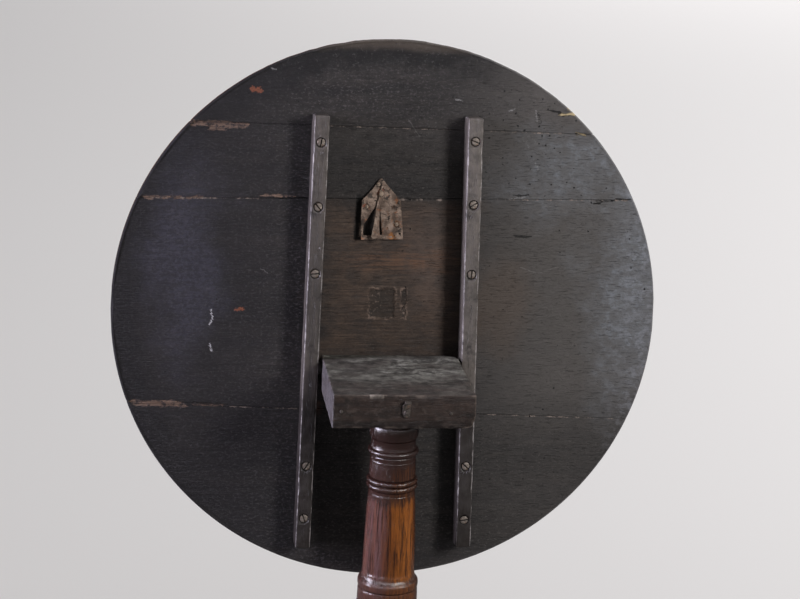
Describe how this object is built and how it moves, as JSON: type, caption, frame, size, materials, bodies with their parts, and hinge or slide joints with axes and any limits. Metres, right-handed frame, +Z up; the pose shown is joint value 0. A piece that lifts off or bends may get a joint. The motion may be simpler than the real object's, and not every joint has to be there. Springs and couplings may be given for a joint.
{
  "type": "tilt top table",
  "caption": "Round boarded table whose top swings up about a pivot block on a turned pillar, with curved legs and a swinging catch underneath.",
  "frame": {"origin": "on the floor under the centre of the object's bounding box, with the top tilted up", "axes": "+Z up; +X to the right along the top's boards, seen from the underside; +Y from the underside through the top, so the tilted top's underside faces -Y and its upper side faces +Y"},
  "size_m": [0.787, 0.5178, 1.1365],
  "materials": {
    "top_oak": "smoke-darkened dry oak with a dull wax sheen, browner between the bearers",
    "bearer_oak": "dark dry oak with rubbed lighter edges",
    "block_oak": "brown oak, worn grey on top",
    "pillar_oak": "polished red-brown oak with dark streaks, darker at the turned rings",
    "leg_oak": "polished red-brown oak",
    "screw_iron": "dull dark iron, slotted",
    "catch_iron": "pitted rusty wrought iron",
    "forged_iron": "black forged iron"
  },
  "bodies": {
    "base": {"pivot_block": "block_oak", "block_nail_left": "forged_iron", "block_nail_right": "forged_iron", "keeper": "forged_iron", "keeper_nail": "forged_iron", "pillar": "pillar_oak", "leg_front": "leg_oak", "leg_left": "leg_oak", "leg_right": "leg_oak", "spider_plate": "forged_iron", "spider_nail_centre": "forged_iron", "spider_nail_front": "forged_iron", "spider_nail_left": "forged_iron", "spider_nail_right": "forged_iron"},
    "top": {"top_board_1": "top_oak", "top_board_2": "top_oak", "top_board_3": "top_oak", "top_board_4": "top_oak", "bearer_left": "bearer_oak", "bearer_right": "bearer_oak", "bearer_screw_left_1": "screw_iron", "bearer_screw_left_2": "screw_iron", "bearer_screw_left_3": "screw_iron", "bearer_screw_left_4": "screw_iron", "bearer_screw_left_5": "screw_iron", "bearer_screw_right_1": "screw_iron", "bearer_screw_right_2": "screw_iron", "bearer_screw_right_3": "screw_iron", "bearer_screw_right_4": "screw_iron", "bearer_screw_right_5": "screw_iron", "catch_plate": "catch_iron", "catch_rivet": "catch_iron", "catch_screw_top": "catch_iron", "catch_screw_left": "catch_iron", "catch_screw_right": "catch_iron", "catch_nail": "catch_iron"},
    "latch": {"latch_bar": "catch_iron"}
  },
  "joints": [
    {"name": "top_tilt", "type": "hinge", "parent": "base", "child": "top", "pos_m": [0.0045, 0.1583, 0.672], "axis": [1, 0, 0], "range_deg": [0, 96]},
    {"name": "latch_turn", "type": "hinge", "parent": "top", "child": "latch", "pos_m": [-0.013, 0.19841, 0.91966], "axis": [0, -0.9945, 0.1045], "range_deg": [-7.5, 4.5]}
  ]
}
